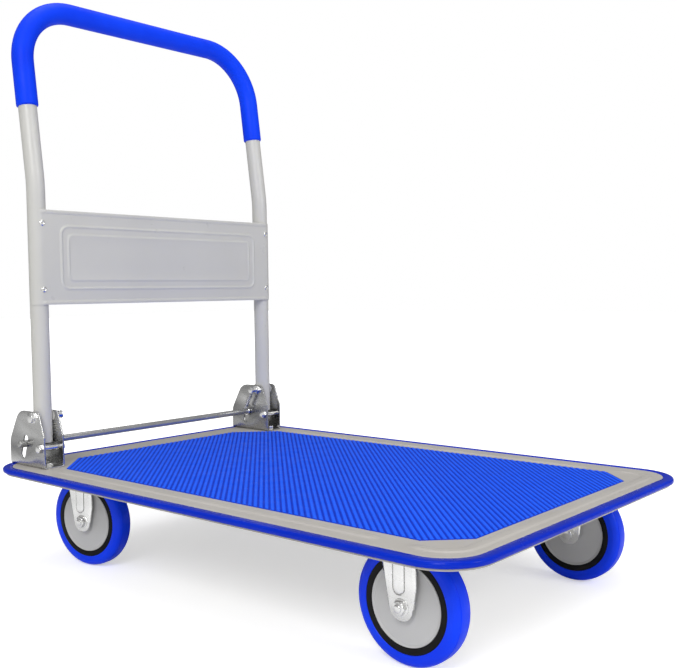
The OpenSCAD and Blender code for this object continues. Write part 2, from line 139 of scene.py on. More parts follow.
def loft(rings, close=False, caps=True):
    """Skin over a list of rings of points. close joins the last ring to the first."""
    bm = bmesh.new()
    rows = [[bm.verts.new(point) for point in ring] for ring in rings]
    pairs = list(zip(rows, rows[1:]))
    if close:
        pairs.append((rows[-1], rows[0]))
    for one, two in pairs:
        for i in range(len(one)):
            j = (i + 1) % len(one)
            bm.faces.new((one[i], one[j], two[j], two[i]))
    if caps and not close:
        bm.faces.new(rows[0])
        bm.faces.new(rows[-1])
    return bm


def circle(radius, height, steps):
    """Ring of points about Z."""
    turns = [2 * math.pi * i / steps for i in range(steps)]
    return [Vector((radius * math.cos(a), radius * math.sin(a), height)) for a in turns]


def lathe(profile, steps=64, close=False):
    """Skin of (radius, height) points turned about Z. close makes a ring of a closed section."""
    return loft([circle(radius, height, steps) for radius, height in profile], close=close)


def both_ways(lower):
    """Section that is the same above and below, from the (radius, height) points of its lower half."""
    return lower + [(radius, -height) for radius, height in reversed(lower)]


def hexagon(corner, limit, height, steps=48):
    """Ring of a hexagon with its corners cut back to a circle of radius limit."""
    sector = math.pi / 3
    ring = []
    for i in range(steps):
        angle = 2 * math.pi * i / steps
        reach = corner * math.cos(sector / 2) / math.cos(angle % sector - sector / 2)
        reach = min(reach, limit)
        ring.append(Vector((reach * math.cos(angle), reach * math.sin(angle), height)))
    return ring


def hex_head(corner, low, high):
    """Hexagonal head or nut along Z with a chamfered face at high."""
    shares = ((0.97, 0.0), (1.0, 0.1), (1.0, 0.72), (0.96, 0.84), (0.91, 0.94), (0.85, 1.0))
    return loft([hexagon(corner, corner * limit, low + (high - low) * up) for limit, up in shares])


def bolt_end(radius, low, high):
    """Round bar along Z with a rounded end at high."""
    section = [(radius, low), (radius, high - 1.2), (radius - 0.4, high - 0.5), (radius - 1.2, high)]
    return lathe(section, steps=32)


def sweep(path, radii, steps=28, caps=True):
    """Round tube along a path of points. radii is one radius, or one for each point."""
    if not isinstance(radii, (list, tuple)):
        radii = [radii] * len(path)
    rings = []
    normal = None
    for i, point in enumerate(path):
        ahead = path[min(i + 1, len(path) - 1)] - path[max(i - 1, 0)]
        ahead.normalize()
        if normal is None:
            normal = ahead.orthogonal().normalized()
        normal = (normal - ahead * normal.dot(ahead)).normalized()
        across = ahead.cross(normal)
        turns = [2 * math.pi * k / steps for k in range(steps)]
        rings.append([point + (normal * math.cos(a) + across * math.sin(a)) * radii[i] for a in turns])
    return loft(rings, caps=caps)


def plate(outlines, thickness, edge):
    """Flat plate with rounded edges about z = 0, from 2D outlines: its edge first, then its holes."""
    curve = bpy.data.curves.new("outline", "CURVE")
    curve.dimensions = "2D"
    curve.fill_mode = "BOTH"
    curve.extrude = thickness / 2 - edge
    curve.bevel_depth = edge
    curve.bevel_resolution = 2
    curve.offset = -edge
    for outline in outlines:
        spline = curve.splines.new("POLY")
        spline.points.add(len(outline) - 1)
        for point, place in zip(spline.points, outline):
            point.co = (place[0], place[1], 0, 1)
        spline.use_cyclic_u = True
    holder = bpy.data.objects.new("outline", curve)
    bm = bmesh.new()
    bm.from_mesh(holder.to_mesh())
    bmesh.ops.remove_doubles(bm, verts=bm.verts, dist=0.001)
    holder.to_mesh_clear()
    bpy.data.objects.remove(holder)
    bpy.data.curves.remove(curve)
    return bm


def cut_across(bm, axis, places):
    """Adds edges across a mesh where it will bend."""
    for place in places:
        point = Vector((0, 0, 0))
        point[axis] = place
        normal = Vector((0, 0, 0))
        normal[axis] = 1
        everything = bm.verts[:] + bm.edges[:] + bm.faces[:]
        bmesh.ops.bisect_plane(bm, geom=everything, plane_co=point, plane_no=normal, dist=0.0001)


def join(*parts):
    """One mesh from several, each a mesh or a (mesh, matrix) pair."""
    whole = bmesh.new()
    for part in parts:
        bm, matrix = part if isinstance(part, tuple) else (part, Matrix.Identity(4))
        mesh = bpy.data.meshes.new("part")
        bmesh.ops.recalc_face_normals(bm, faces=bm.faces)
        bm.to_mesh(mesh)
        bm.free()
        mesh.transform(matrix)
        if matrix.determinant() < 0:
            mesh.flip_normals()
        whole.from_mesh(mesh)
        bpy.data.meshes.remove(mesh)
    return whole


def along_y(place, side=1):
    """Matrix that stands a Z shape along Y at a place, its top towards side."""
    return Matrix.Translation(place) @ Matrix.Rotation(-side * math.pi / 2, 4, "X")


def upside_down(place):
    """Matrix that turns a Z shape over and moves it to a place."""
    return Matrix.Translation(place) @ Matrix.Rotation(math.pi, 4, "X")


def mirrored(side):
    """Matrix that keeps the left side (+Y) and mirrors it for the right side."""
    return Matrix.Diagonal((1, side, 1, 1))


def add_object(name, data):
    """New object in the scene."""
    obj = bpy.data.objects.new(name, data)
    bpy.context.scene.collection.objects.link(obj)
    return obj


def piece(name, bm, material, body, slot, *nodes, smooth=35):
    bmesh.ops.recalc_face_normals(bm, faces=bm.faces)
    mesh = bpy.data.meshes.new(name)
    bm.to_mesh(mesh)
    bm.free()
    mesh.transform(Matrix.Scale(MM, 4))
    mesh.shade_smooth()
    mesh.set_sharp_from_angle(angle=math.radians(smooth))
    mesh.materials.append(material)
    obj = add_object(name, mesh)
    if body:
        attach(obj, body)
    if nodes:
        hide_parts(*nodes)
    return obj


# ---- Materials ----


def map_range(tree, value, source, target):
    """Output with a value moved from a source range to a target range."""
    node = tree.nodes.new("ShaderNodeMapRange")
    for name, number in zip(("From Min", "From Max", "To Min", "To Max"), (*source, *target)):
        node.inputs[name].default_value = number
    tree.links.new(value, node.inputs["Value"])
    return node.outputs["Result"]


class Surface:
    """A node material built around one principled shader."""

    def __init__(self, name, roughness, metallic=0.0, coat=0.0, specular=0.5):
        self.material = bpy.data.materials.new(name)
        self.material.use_nodes = True
        self.tree = self.material.node_tree
        self.shader = self.tree.nodes["Principled BSDF"]
        settings = {"Roughness": roughness, "Metallic": metallic, "Specular IOR Level": specular}
        settings |= {"Coat Weight": coat, "Coat Roughness": 0.08}
        for socket, value in settings.items():
            self.shader.inputs[socket].default_value = value
        self.place = self.node("ShaderNodeTexCoord").outputs["Object"]

    def node(self, kind, **settings):
        node = self.tree.nodes.new(kind)
        for key, value in settings.items():
            setattr(node, key, value)
        return node

    def link(self, output, target):
        self.tree.links.new(output, target)

    def math(self, operation, one, two=None):
        node = self.node("ShaderNodeMath", operation=operation)
        for socket, value in zip(node.inputs, (one, two)):
            if isinstance(value, (int, float)):
                socket.default_value = value
            elif value is not None:
                self.link(value, socket)
        return node.outputs[0]

    def stretched(self, scale):
        """Object coordinates scaled along each axis."""
        mapping = self.node("ShaderNodeMapping")
        mapping.inputs["Scale"].default_value = scale
        self.link(self.place, mapping.inputs["Vector"])
        return mapping.outputs[0]

    def noise(self, scale, detail=3.0, vector=None):
        """Noise whose scale is in cycles for each metre."""
        node = self.node("ShaderNodeTexNoise")
        node.inputs["Scale"].default_value = scale
        node.inputs["Detail"].default_value = detail
        self.link(vector or self.place, node.inputs["Vector"])
        return node.outputs["Fac"]

    def colour(self, driver, dark, light, low=0.3, high=0.7):
        """Base colour that goes from dark to light with the driver."""
        ramp = self.node("ShaderNodeValToRGB")
        for element, place, shade in zip(ramp.color_ramp.elements, (low, high), (dark, light)):
            element.position = place
            element.color = (*shade, 1)
        self.link(driver, ramp.inputs["Fac"])
        self.link(ramp.outputs["Color"], self.shader.inputs["Base Color"])

    def roughness(self, driver, low, high):
        """Roughness that goes from low to high with the driver."""
        self.link(map_range(self.tree, driver, (0.3, 0.7), (low, high)), self.shader.inputs["Roughness"])

    def bump(self, driver, depth, strength=1.0):
        """Bump of a depth in metres."""
        node = self.node("ShaderNodeBump")
        node.inputs["Distance"].default_value = depth
        node.inputs["Strength"].default_value = strength
        self.link(driver, node.inputs["Height"])
        self.link(node.outputs["Normal"], self.shader.inputs["Normal"])


def powder_coat(name, dark, light, roughness=0.38):
    """Painted steel: a faint orange peel and slight changes of shade."""
    paint = Surface(name, roughness, specular=0.45)
    paint.colour(paint.noise(9, 4), dark, light)
    paint.roughness(paint.noise(30, 3), roughness - 0.05, roughness + 0.07)
    paint.bump(paint.noise(650, 2), 0.00006, 0.5)
    return paint.material


def zinc_plate(name, dark, light, roughness=0.26, painted_reflection_bands=10.0):
    """Bright zinc with soft bands of colour, painted reflections, so many for each metre of height, and a
    brushed sheen.
    """
    zinc = Surface(name, roughness, metallic=1.0)
    brushed = zinc.noise(60, 3, zinc.stretched((1.0, 1.0, 6.0)))
    # Painted reflection: the base colour runs from dark to light in bands up the height, in place of
    # reflected light and shade.
    zinc.colour(zinc.noise(1.0, 1, zinc.stretched((3.0, 3.0, painted_reflection_bands))), dark, light)
    zinc.roughness(brushed, roughness - 0.03, roughness + 0.05)
    return zinc.material


def soft_blue(name, dark, light, roughness, grain, depth, coat=0.0, specular=0.4):
    """Blue rubber or vinyl with a fine grain."""
    rubber = Surface(name, roughness, coat=coat, specular=specular)
    rubber.colour(rubber.noise(12, 4), dark, light)
    rubber.roughness(rubber.noise(60, 3), roughness - 0.05, roughness + 0.08)
    rubber.bump(rubber.noise(grain, 2), depth, 0.5)
    return rubber.material


def mat_vinyl():
    """Embossed mat with diagonal ridges, which have fine cross marks; painted shade darkens the grooves
    between them and painted light brightens the ridge tops.
    """
    vinyl = Surface("mat_vinyl", 0.45, specular=0.08)
    parts = vinyl.node("ShaderNodeSeparateXYZ")
    vinyl.link(vinyl.place, parts.inputs[0])
    along = vinyl.math("SUBTRACT", parts.outputs["Y"], parts.outputs["X"])
    stud_pitch = 0.0048
    wave = vinyl.math("SINE", vinyl.math("MULTIPLY", along, 2 * math.pi / stud_pitch / math.sqrt(2)))
    vinyl.bump(wave, 0.00022, 0.6)
    # Painted shade: the colour goes darker towards the grooves and lighter on the ridge tops, by the height
    # above the mat's base.
    rise = vinyl.math("SUBTRACT", parts.outputs["Z"], MAT_BASE * MM)
    rise = vinyl.math("DIVIDE", rise, (mat_high.z - MAT_BASE) * MM)
    uneven = vinyl.math("MULTIPLY", vinyl.noise(60, 3), 0.3)
    vinyl.colour(vinyl.math("ADD", rise, uneven), (0.0, 0.030, 0.50), (0.012, 0.115, 0.93), 0.15, 1.1)
    vinyl.roughness(vinyl.noise(40, 3), 0.40, 0.50)
    return vinyl.material


def chrome_plate():
    """Polished rod with very fine drawing marks."""
    chrome = Surface("chrome_plate", 0.25, metallic=0.6, specular=0.8)
    chrome.colour(chrome.noise(30, 3), (0.34, 0.34, 0.33), (0.42, 0.42, 0.41))
    chrome.roughness(chrome.noise(50, 4, chrome.stretched((8.0, 1.0, 8.0))), 0.18, 0.28)
    return chrome.material


def moulded_black():
    """Black moulded plastic with a satin grain."""
    black = Surface("moulded_black", 0.42, specular=0.15)
    black.colour(black.noise(40, 3), (0.002, 0.002, 0.002), (0.006, 0.006, 0.006))
    black.roughness(black.noise(80, 3), 0.34, 0.48)
    black.bump(black.noise(1400, 2), 0.00004, 0.5)
    return black.material


def washer_plastic():
    """Pale plain nylon."""
    nylon = Surface("washer_plastic", 0.5)
    nylon.colour(nylon.noise(60, 3), (0.70, 0.69, 0.66), (0.80, 0.79, 0.76))
    nylon.bump(nylon.noise(1200, 2), 0.00003, 0.4)
    return nylon.material


DECK_PAINT = powder_coat("deck_paint", (0.440, 0.418, 0.390), (0.470, 0.448, 0.418), 0.42)
FRAME_PAINT = powder_coat("frame_paint", (0.36, 0.35, 0.34), (0.42, 0.41, 0.39), 0.5)
HANDLE_PAINT = powder_coat("handle_paint", (0.515, 0.510, 0.485), (0.535, 0.530, 0.505), 0.32)
DISC_PAINT = powder_coat("disc_paint", (0.50, 0.50, 0.50), (0.53, 0.53, 0.53), 0.45)
ZINC = zinc_plate("zinc_plate", (0.72, 0.72, 0.71), (0.95, 0.95, 0.94), 0.24, 22.0)
BRACKET_ZINC = zinc_plate("bracket_zinc", (0.24, 0.24, 0.24), (0.78, 0.78, 0.77), 0.26, 26.0)
BOLT_ZINC = zinc_plate("bolt_zinc", (0.74, 0.74, 0.73), (0.86, 0.86, 0.85), 0.20)
SPRING_STEEL = zinc_plate("spring_steel", (0.42, 0.42, 0.43), (0.60, 0.60, 0.60), 0.24)
CHROME = chrome_plate()
MAT = mat_vinyl()
BUMPER = soft_blue("bumper_gloss", (0.0, 0.018, 0.44), (0.0, 0.026, 0.52), 0.22, 300, 0.00001, 0.12, 0.05)
GRIP = soft_blue("grip_vinyl", (0.0, 0.036, 0.74), (0.001, 0.052, 0.86), 0.46, 900, 0.00005, 0.0, 0.12)
TYRE = soft_blue("tyre_rubber", (0.0, 0.036, 0.84), (0.001, 0.054, 0.96), 0.34, 700, 0.00002, 0.0, 0.18)
BLACK = moulded_black()
NYLON = washer_plastic()


# ---- Deck ----

LONG_STEPS = 150
SHORT_STEPS = 84
ARC_STEPS = 22
BEAD_HIGH = 1.3
BEAD_HALF = 8.0
SIDE_BEAD_Y = HALF_W - 28.0
END_BEAD_X = HALF_L - 19.0
END_BEAD_Y = HALF_W - 26.0


def deck_ring(inset, height, bead=0.0):
    """Ring of points around the deck, inset from its edge, raised by bead times the beads' height."""
    half_l = HALF_L - inset
    half_w = HALF_W - inset
    radius = max(CORNER_R - inset, 1.0)
    arcs = []
    for i, (sx, sy) in enumerate(((1, 1), (-1, 1), (-1, -1), (1, -1))):
        centre = Vector((sx * (half_l - radius), sy * (half_w - radius)))
        turns = [math.pi / 2 * (i + k / ARC_STEPS) for k in range(ARC_STEPS + 1)]
        arcs.append([centre + radius * Vector((math.cos(a), math.sin(a))) for a in turns])
    points = []
    for arc, following, steps in zip(arcs, arcs[1:] + arcs[:1], (LONG_STEPS, SHORT_STEPS) * 2):
        points += arc + [arc[-1].lerp(following[0], k / steps) for k in range(1, steps)]
    return [Vector((p.x, p.y, height + bead * bead_height(p))) for p in points]


def distance_to_line(point, line):
    """Distance from a flat point to a line of points."""
    best = 1e9
    for one, two in zip(line, line[1:]):
        along = two - one
        t = max(0.0, min(1.0, (point - one).dot(along) / along.length_squared))
        best = min(best, (point - one - along * t).length)
    return best


side_beads = [[Vector((-300, side * SIDE_BEAD_Y)), Vector((304, side * SIDE_BEAD_Y))] for side in SIDES]
end_bead = rounded(
    [
        ((370, -END_BEAD_Y), 0),
        ((END_BEAD_X, -END_BEAD_Y), 34),
        ((END_BEAD_X, END_BEAD_Y), 34),
        ((370, END_BEAD_Y), 0),
    ],
    closed=False,
)


def bead_height(point):
    """Height of the pressed beads at a point of the deck's border."""
    near = min(distance_to_line(point, line) for line in [*side_beads, end_bead])
    rise = max(0.0, min(1.0, (BEAD_HALF - near) / 3.0))
    return BEAD_HIGH * rise * rise * (3 - 2 * rise)


def make_deck():
    """Pressed tray: beaded border, rounded edge, wall and folded lip, closed below."""
    rim_z = tray_low.z
    edge_r = 0.6
    rings = []
    over_beads = [40 - 1.6 * k for k in range(21)]
    for inset in [72, 60, 52, 46, 43, *over_beads, 5, edge_r]:
        rings.append(deck_ring(inset, DECK_TOP, 1.0))
    for degrees in (30, 60, 90):
        angle = math.radians(degrees)
        rings.append(deck_ring(edge_r * (1 - math.sin(angle)), DECK_TOP - edge_r * (1 - math.cos(angle))))
    rings.append(deck_ring(0, rim_z + LIP_T + 0.6))
    rings.append(deck_ring(-0.6, rim_z + LIP_T))
    nose = LIP_T / 2
    for degrees in range(90, -91, -30):
        angle = math.radians(degrees)
        out = LIP_OUT - nose + nose * math.cos(angle)
        rings.append(deck_ring(-out, rim_z + nose + nose * math.sin(angle)))
    under = DECK_TOP - SHEET
    inside = [(SHEET - 0.5, rim_z), (SHEET, rim_z + 0.5), (SHEET, under - 1.5)]
    inside += [(SHEET + 1.5, under), (60, under)]
    rings += [deck_ring(inset, height) for inset, height in inside]
    piece("deck_sheet", loft(rings), DECK_PAINT, "deck", "deck_paint", "deck_tray", smooth=50)


def make_bumper():
    """Vinyl strip, flush with the deck's top, with a square nose whose corners are round."""
    low = bumper_low.z
    high = bumper_high.z
    out = bumper_high.x - HALF_L
    middle = (low + high) / 2
    half = (high - low) / 2
    nose = 3.4
    section = [(0.3, low), (0.3, high - 0.3), (0.7, high)]
    for degrees in range(90, -91, -15):
        angle = math.radians(degrees)
        up = math.copysign(abs(math.sin(angle)) ** 0.9, degrees)
        section.append((out - nose + nose * math.cos(angle) ** 0.9, middle + half * up))
    rings = [deck_ring(-reach, height) for reach, height in section]
    piece("bumper_strip", loft(rings, close=True), BUMPER, "deck", "bumper_vinyl", "bumper", smooth=60)


RIDGE_PITCH = 7.2
RIDGE = (
    (0.0, 0.0), (1.2, 0.0), (2.4, 0.8), (3.2, 1.0),
    (4.8, 1.0), (5.6, 0.8), (6.8, 0.0), (RIDGE_PITCH, 0.0),
)


def ridge_height(station):
    """Height of the mat's surface at a distance across its diagonal ridges."""
    phase = station % RIDGE_PITCH
    for (one, low), (two, high) in zip(RIDGE, RIDGE[1:]):
        if phase <= two:
            share = low + (high - low) * (phase - one) / (two - one)
            return MAT_BASE + (mat_high.z - MAT_BASE) * share
    return MAT_BASE


def mat_outline():
    """Corners of the mat, the larger cuts at the hinges."""
    front = mat_high.x
    back = mat_low.x
    half_w = mat_high.y
    front_cut = 44.0
    back_cut = 62.0
    left = [
        (front, half_w - front_cut), (front - front_cut, half_w),
        (back + back_cut, half_w), (back, half_w - back_cut),
    ]
    return [Vector(point) for point in left] + [Vector((x, -y)) for x, y in reversed(left)]


def make_mat():
    """Mat with diagonal ridges: one section for each line along the ridges, ending at the outline."""
    outline = mat_outline()
    across = Vector((1, 1)).normalized()
    along = Vector((-1, 1)).normalized()
    margin = 1.2
    under = DECK_TOP - 0.4
    first = min(point.dot(across) for point in outline) + margin
    last = max(point.dot(across) for point in outline) - margin
    marks = [k * RIDGE_PITCH + phase for k in range(-90, 90) for phase, height in RIDGE[:-1]]
    marks += [first, last] + [point.dot(across) for point in outline]
    stations = sorted({round(mark, 4) for mark in marks if first <= mark <= last})
    rings = []
    for station in stations:
        low, high = crossings(outline, across, along, station)
        height = MAT_BASE if station in (stations[0], stations[-1]) else ridge_height(station)
        section = [
            (low, under), (low, MAT_BASE), (low + margin, height), (high - margin, height),
            (high, MAT_BASE), (high, under),
        ]
        rings.append([(*(across * station + along * v), z) for v, z in section])
    piece("mat_sheet", loft(rings), MAT, "deck", "mat_rubber", "deck_mat", smooth=30)


def crossings(outline, across, along, station):
    """Where the line at a station across the ridges enters and leaves the outline."""
    found = []
    for one, two in zip(outline, outline[1:] + outline[:1]):
        a = one.dot(across) - station
        b = two.dot(across) - station
        if a * b <= 0 and a != b:
            found.append(one.lerp(two, a / (a - b)).dot(along))
    return min(found), max(found)


# ---- Hinges ----


# A bracket is bent from a flat blank, whose second axis runs over one side, the base and the other side.
BEND_IN = 2.0
BEND_OUT = BEND_IN + BRACKET_T
BEND_MID = BEND_IN + BRACKET_T / 2
BEND_ARC = BEND_MID * math.pi / 2
FLAT = (bracket_high.y - bracket_low.y) / 2 - BEND_OUT


def on_blank(z):
    """Place on the blank, from its middle, of a height on the side of the bent bracket."""
    return FLAT + BEND_ARC + z - bracket_low.z - BEND_OUT


def bracket_blank():
    """Blank with its two slots and with the edges that its bends need."""
    wing = [
        ((bracket_high.x, on_blank(PIVOT.z - 30)), 7),
        ((LEG_X + 16, on_blank(bracket_high.z)), 9),
        ((bracket_low.x + 28, on_blank(bracket_high.z)), 26),
        ((bracket_low.x, on_blank(PIVOT.z - 40)), 30),
    ]
    outline = rounded([*wing, *[((x, -s), r) for (x, s), r in reversed(wing)]], steps=10)
    slot = stadium(ROD - SLIDE * 9.0, ROD + SLIDE * (ROD_TRAVEL + 1.0), ROD_R + 0.5)
    holes = [[(x, end * on_blank(z)) for x, z in slot] for end in SIDES]
    bm = plate([outline, *holes], BRACKET_T, 0.45)
    cut_across(bm, 1, [end * (FLAT + BEND_ARC * k / 5) for end in SIDES for k in range(6)])
    return bm


def make_bracket(side, name):
    """U bracket, bent up from its blank."""
    bm = bracket_blank()
    for vert in bm.verts:
        x, s, n = vert.co
        end = 1 if s > 0 else -1
        run = abs(s)
        if run <= FLAT:
            y = run
            z = BRACKET_T / 2 - n
        elif run <= FLAT + BEND_ARC:
            angle = (run - FLAT) / BEND_MID
            y = FLAT + (BEND_MID + n) * math.sin(angle)
            z = BEND_OUT - (BEND_MID + n) * math.cos(angle)
        else:
            y = FLAT + BEND_MID + n
            z = BEND_OUT + run - FLAT - BEND_ARC
        vert.co = (x, side * LEG_Y + end * y, bracket_low.z + z)
    piece(name + "_steel", bm, BRACKET_ZINC, "deck", "zinc", name, smooth=40)


def stadium(one, two, radius, steps=12):
    """Closed outline, as (x, z) pairs, of a slot between two points."""
    lean = math.atan2(one.z - two.z, one.x - two.x)
    points = []
    for centre, start in ((one, lean - math.pi / 2), (two, lean + math.pi / 2)):
        for k in range(steps + 1):
            angle = start + math.pi * k / steps
            points.append((centre.x + radius * math.cos(angle), centre.z + radius * math.sin(angle)))
    return points


def make_hinge_bolt(side, name, place, head_r, nut, *parts):
    """Bolt across a bracket: a hex head outside, a nut of (radius, height) inside, and its other parts."""
    head = hex_head(head_r, bracket_high.y, bolt_reach(name)[1])
    nut_r, nut_t = nut
    inside = (hex_head(nut_r, 0, nut_t), upside_down((0, 0, bracket_low.y)))
    matrix = mirrored(side) @ along_y((place.x, 0, place.z))
    piece(name + "_steel", join((join(*parts, head, inside), matrix)), BOLT_ZINC, "deck", "zinc", name)


def bolt_reach(name):
    """Distances of a bolt's inner and outer end from the middle of the cart."""
    low, high = box_mm(name)
    return sorted((abs(low.y), abs(high.y)))


def make_pivot_bolt(side, name):
    """Pivot bolt, whose inner end is drawn out for the spring."""
    tip = bolt_reach(name)[0]
    outer = bracket_high.y
    lug_r = 6.2
    section = [(PIVOT_R, outer), (PIVOT_R, tip + 1.2), (lug_r, tip + 1.1), (lug_r, tip + 0.4), (5.6, tip)]
    flange = [(9.6, outer), (9.6, outer + 0.7), (8.8, outer + 1.0), (PIVOT_R, outer + 1.0)]
    parts = (lathe(section, steps=32), lathe(flange, steps=40))
    make_hinge_bolt(side, name, PIVOT, 9.0, (8.6, 5.0), *parts)


def make_stop_pin(side, name):
    """Stop bolt across the bracket in front of the leg."""
    tip = bolt_reach(name)[0]
    radius = 4.0
    rod = lathe([(radius, bracket_high.y), (radius, tip + 1), (radius - 0.8, tip)], steps=32)
    make_hinge_bolt(side, name, STOP, 7.2, (7.0, 4.5), rod)


def make_base_bolts():
    """Bolts that hold the brackets on the deck."""
    low, high = box_mm("hinge_base_bolts")
    base_top = bracket_low.z + BRACKET_T
    under = DECK_TOP - SHEET
    bolt_y = 248.5
    front_x = bracket_high.x - 13
    back_x = bracket_low.x + 17
    parts = []
    for side in SIDES:
        for x in (front_x, back_x):
            shift = Matrix.Translation((x, side * bolt_y, 0))
            parts.append((hex_head(7.0, base_top, high.z), shift))
            parts.append((lathe([(4, low.z), (4, base_top)], steps=24), shift))
            parts.append((hex_head(6.9, 0, 4.5), upside_down((x, side * bolt_y, under))))
    piece("base_bolts_steel", join(*parts), BOLT_ZINC, "deck", "zinc", "hinge_base_bolts")


def make_washers():
    """Thin washers beside each leg."""
    gap_half = 15.5
    washer_t = 1.1
    hole_r = PIVOT_R + 0.1
    rim_r = 9.0
    edge = 0.3
    section = [(hole_r, 0), (rim_r - edge, 0), (rim_r, edge)]
    section += [(rim_r, washer_t - edge), (rim_r - edge, washer_t), (hole_r, washer_t)]
    parts = []
    for side in SIDES:
        for start in (LEG_Y - gap_half, LEG_Y + gap_half - washer_t):
            place = Vector((PIVOT.x, side * start, PIVOT.z))
            parts.append((lathe(section, steps=40, close=True), along_y(place, side)))
    piece("washers_nylon", join(*parts), NYLON, "deck", "washer_nylon", "pivot_washers")


def make_spring(side, name):
    """Extension spring: a close coil with a hook round the pivot bolt and one round the lock rod."""
    wire = 0.75
    coil_r = 3.4
    turns = 15
    start = Vector((PIVOT.x, side * SPRING_Y, PIVOT.z))
    end = Vector((ROD.x, side * SPRING_Y, ROD.z))
    axis = (end - start).normalized()
    length = (end - start).length
    across = Vector((0, 1, 0))
    third = axis.cross(across)
    hook_high = PIVOT_R + wire
    hook_low = ROD_R + wire

    def hook(centre, radius, first, turn):
        angles = [math.pi * (first + turn * k / 13) for k in range(14)]
        return [centre + (third * math.cos(a) - axis * math.sin(a)) * radius for a in angles]

    path = hook(start, hook_high, 1.9, -1.4)
    coil_from = hook_high + 4.0
    coil_to = length - hook_low - 4.0
    steps = turns * 12
    for k in range(steps + 1):
        angle = 2 * math.pi * k / 12
        place = coil_from + (coil_to - coil_from) * k / steps
        path.append(start + axis * place + (third * math.cos(angle) + across * math.sin(angle)) * coil_r)
    path += hook(end, hook_low, 0.5, 1.4)
    obj = piece(name + "_wire", sweep(path, wire, steps=8), SPRING_STEEL, None, "zinc", name, smooth=60)
    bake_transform(obj)


def make_lock_rod():
    """Chromed rod with domed ends, and a collar inside each bracket."""
    tip = rod_high.y
    dome = 3.0
    turns = [math.radians(degrees) for degrees in range(10, 91, 20)]
    section = both_ways([(ROD_R * math.sin(a), dome - tip - dome * math.cos(a)) for a in turns])
    matrix = along_y((ROD.x, 0, ROD.z))
    rod = join((lathe(section, steps=40), matrix))
    piece("lock_rod_chrome", rod, CHROME, "lock", "chrome_rod", "lock_rod")
    outer = box_mm("rod_collars")[1].y
    inner = outer - 3.6
    section = [(ROD_R, inner), (7.4, inner), (8.0, inner + 0.5)]
    section += [(8.0, outer - 0.5), (7.4, outer), (ROD_R, outer)]
    parts = []
    for side in SIDES:
        parts.append((lathe(section, steps=40, close=True), mirrored(side) @ matrix))
    piece("rod_collars_steel", join(*parts), BOLT_ZINC, "lock", "zinc", "rod_collars")


# ---- Handle ----


def lean_point(along, y):
    """Point of the leaning upper handle, at a distance above its bend."""
    return Vector((LEG_X - along * math.sin(LEAN), y, LEAN_Z + along * math.cos(LEAN)))


def subdivided(path, step):
    """The same path with no segment longer than step."""
    points = [path[0]]
    for one, two in zip(path, path[1:]):
        parts = max(1, math.ceil((two - one).length / step))
        points += [one.lerp(two, k / parts) for k in range(1, parts + 1)]
    return points


def make_handle_tube():
    """Bent tube from one leg's end to the other's."""
    foot = tube_low.z
    bend_r = 260
    path = rounded(
        [
            ((LEG_X, -LEG_Y, foot), 0),
            ((LEG_X, -LEG_Y, LEAN_Z), bend_r),
            (lean_point(LEAN_LEN, -LEG_Y), HANDLE_CORNER_R),
            (lean_point(LEAN_LEN, LEG_Y), HANDLE_CORNER_R),
            ((LEG_X, LEG_Y, LEAN_Z), bend_r),
            ((LEG_X, LEG_Y, foot), 0),
        ],
        closed=False,
        steps=18,
    )
    path = subdivided(path, 60)
    wall = 1.6
    visible_depth = 30.0
    section = [(TUBE_R, 0.0), (TUBE_R - wall, 0.0), (TUBE_R - wall, visible_depth)]
    bm = sweep(path, TUBE_R, steps=40, caps=False)
    for end in (path[0], path[-1]):
        inside = loft([circle(radius, height, 40) for radius, height in section], caps=False)
        bm = join(bm, (inside, Matrix.Translation(end)))
    piece("handle_tube_steel", bm, HANDLE_PAINT, "handle", "handle_paint", "handle_tube", smooth=60)


def make_grip():
    """Soft grip with rounded ends that stand proud of the tube."""
    path = rounded(
        [
            (lean_point(GRIP_START, -LEG_Y), 0),
            (lean_point(LEAN_LEN, -LEG_Y), HANDLE_CORNER_R),
            (lean_point(LEAN_LEN, LEG_Y), HANDLE_CORNER_R),
            (lean_point(GRIP_START, LEG_Y), 0),
        ],
        closed=False,
        steps=24,
    )
    step = (path[1] - path[0]).normalized()
    step_last = (path[-2] - path[-1]).normalized()
    lead = [0.0, 0.3, 0.9, 1.8, 3.0]
    wall = GRIP_R - TUBE_R
    radii_lead = [TUBE_R + wall * math.sqrt(1 - (1 - d / lead[-1]) ** 2) for d in lead]
    start = [path[0] + step * d for d in lead]
    stop = [path[-1] + step_last * d for d in reversed(lead)]
    middle = subdivided([start[-1], *path[1:-1], stop[0]], 40)
    whole = start[:-1] + middle + stop[1:]
    radii = radii_lead[:-1] + [GRIP_R] * len(middle) + radii_lead[::-1][1:]
    sleeve = sweep(whole, radii, steps=44, caps=False)
    piece("grip_sleeve", sleeve, GRIP, "handle", "grip_foam", "handle_grip", smooth=70)


PANEL_T = 1.2
PANEL_GAP = 0.05
PANEL_FACE = LEG_X + TUBE_R + PANEL_GAP + PANEL_T


def panel_relief(y, z):
    """Height of the panel's pressed frames above its face."""
    middle = (panel_low.z + panel_high.z) / 2
    height = 0.0
    for half_y, half_z, radius, rise in ((215, 52, 16, 1.3), (202, 38, 10, 1.1)):
        dy = max(abs(y) - (half_y - radius), 0)
        dz = max(abs(z - middle) - (half_z - radius), 0)
        inside = max(abs(y) - half_y, abs(z - middle) - half_z)
        gap = math.hypot(dy, dz) - radius if dy > 0 and dz > 0 else inside
        ridge = max(0.0, 1 - abs(gap + 2.5) / 3.2)
        height = max(height, rise * ridge * ridge * (3 - 2 * ridge))
    hem_w = 6.0
    from_edge = min(z - panel_low.z, panel_high.z - z)
    if from_edge < hem_w:
        height = max(height, 1.1 * min(1.0, (hem_w - from_edge) / 1.2))
    return height


